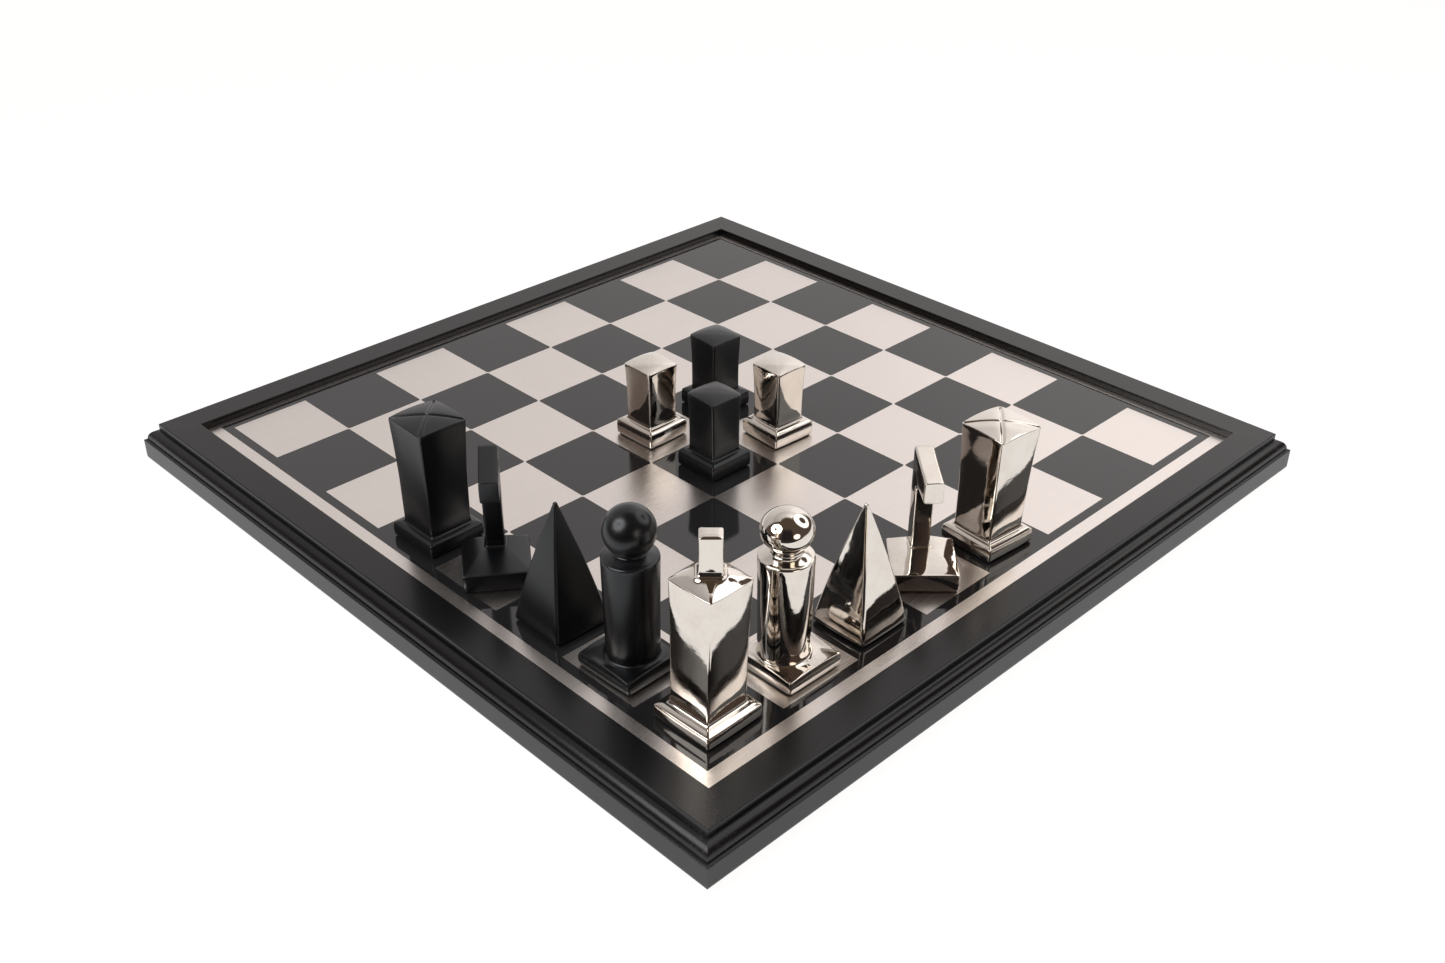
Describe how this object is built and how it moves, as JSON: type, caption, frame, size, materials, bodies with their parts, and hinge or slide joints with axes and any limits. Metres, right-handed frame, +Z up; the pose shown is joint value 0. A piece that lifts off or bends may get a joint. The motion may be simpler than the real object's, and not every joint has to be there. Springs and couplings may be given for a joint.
{
  "type": "chess set with board",
  "caption": "Framed metal chessboard with dark enamel squares and cast metal playing pieces of plain geometric shape that lift off it.",
  "frame": {"origin": "centre of the board's underside, on the surface it stands on", "axes": "+Z up out of the board; +X and +Y along the board's edges; the silver row runs along +X and the black row along +Y from the corner nearest -X -Y"},
  "size_m": [0.4504, 0.4504, 0.1142],
  "materials": {
    "black_frame": "satin black lacquer over moulded wood, faintly scratched, arrises slightly rubbed",
    "key_ply": "plain plywood, hidden",
    "panel_board": "plain fibreboard, hidden",
    "brushed_plate": "fine brushed, softly reflecting",
    "dark_enamel": "smooth dark enamel, glossy",
    "board_felt": "thin black felt",
    "piece_felt": "thin black felt",
    "silver_casting": "hand-polished nickel plate, slightly wavy",
    "black_casting": "satin black coating with softer edges"
  },
  "bodies": {
    "board": {"front_rail": "black_frame", "right_rail": "black_frame", "back_rail": "black_frame", "left_rail": "black_frame", "corner_keys": "key_ply", "base_panel": "panel_board", "steel_plate": "brushed_plate", "enamel_squares": "dark_enamel", "base_felt": "board_felt"},
    "silver_king": {"silver_king": "silver_casting", "silver_king_felt": "piece_felt"},
    "silver_queen": {"silver_queen": "silver_casting", "silver_queen_felt": "piece_felt"},
    "silver_bishop": {"silver_bishop": "silver_casting", "silver_bishop_felt": "piece_felt"},
    "silver_knight": {"silver_knight": "silver_casting", "silver_knight_felt": "piece_felt"},
    "silver_rook": {"silver_rook": "silver_casting", "silver_rook_felt": "piece_felt"},
    "silver_pawn_1": {"silver_pawn_1": "silver_casting", "silver_pawn_1_felt": "piece_felt"},
    "silver_pawn_2": {"silver_pawn_2": "silver_casting", "silver_pawn_2_felt": "piece_felt"},
    "black_queen": {"black_queen": "black_casting", "black_queen_felt": "piece_felt"},
    "black_bishop": {"black_bishop": "black_casting", "black_bishop_felt": "piece_felt"},
    "black_knight": {"black_knight": "black_casting", "black_knight_felt": "piece_felt"},
    "black_rook": {"black_rook": "black_casting", "black_rook_felt": "piece_felt"},
    "black_pawn_1": {"black_pawn_1": "black_casting", "black_pawn_1_felt": "piece_felt"},
    "black_pawn_2": {"black_pawn_2": "black_casting", "black_pawn_2_felt": "piece_felt"}
  },
  "joints": [
    {"name": "silver_king_lift", "type": "slide", "parent": "board", "child": "silver_king", "axis": [0, 0, 1], "range_m": [0, 0.12]},
    {"name": "silver_queen_lift", "type": "slide", "parent": "board", "child": "silver_queen", "axis": [0, 0, 1], "range_m": [0, 0.12]},
    {"name": "silver_bishop_lift", "type": "slide", "parent": "board", "child": "silver_bishop", "axis": [0, 0, 1], "range_m": [0, 0.12]},
    {"name": "silver_knight_lift", "type": "slide", "parent": "board", "child": "silver_knight", "axis": [0, 0, 1], "range_m": [0, 0.12]},
    {"name": "silver_rook_lift", "type": "slide", "parent": "board", "child": "silver_rook", "axis": [0, 0, 1], "range_m": [0, 0.12]},
    {"name": "silver_pawn_1_lift", "type": "slide", "parent": "board", "child": "silver_pawn_1", "axis": [0, 0, 1], "range_m": [0, 0.12]},
    {"name": "silver_pawn_2_lift", "type": "slide", "parent": "board", "child": "silver_pawn_2", "axis": [0, 0, 1], "range_m": [0, 0.12]},
    {"name": "black_queen_lift", "type": "slide", "parent": "board", "child": "black_queen", "axis": [0, 0, 1], "range_m": [0, 0.12]},
    {"name": "black_bishop_lift", "type": "slide", "parent": "board", "child": "black_bishop", "axis": [0, 0, 1], "range_m": [0, 0.12]},
    {"name": "black_knight_lift", "type": "slide", "parent": "board", "child": "black_knight", "axis": [0, 0, 1], "range_m": [0, 0.12]},
    {"name": "black_rook_lift", "type": "slide", "parent": "board", "child": "black_rook", "axis": [0, 0, 1], "range_m": [0, 0.12]},
    {"name": "black_pawn_1_lift", "type": "slide", "parent": "board", "child": "black_pawn_1", "axis": [0, 0, 1], "range_m": [0, 0.12]},
    {"name": "black_pawn_2_lift", "type": "slide", "parent": "board", "child": "black_pawn_2", "axis": [0, 0, 1], "range_m": [0, 0.12]}
  ]
}
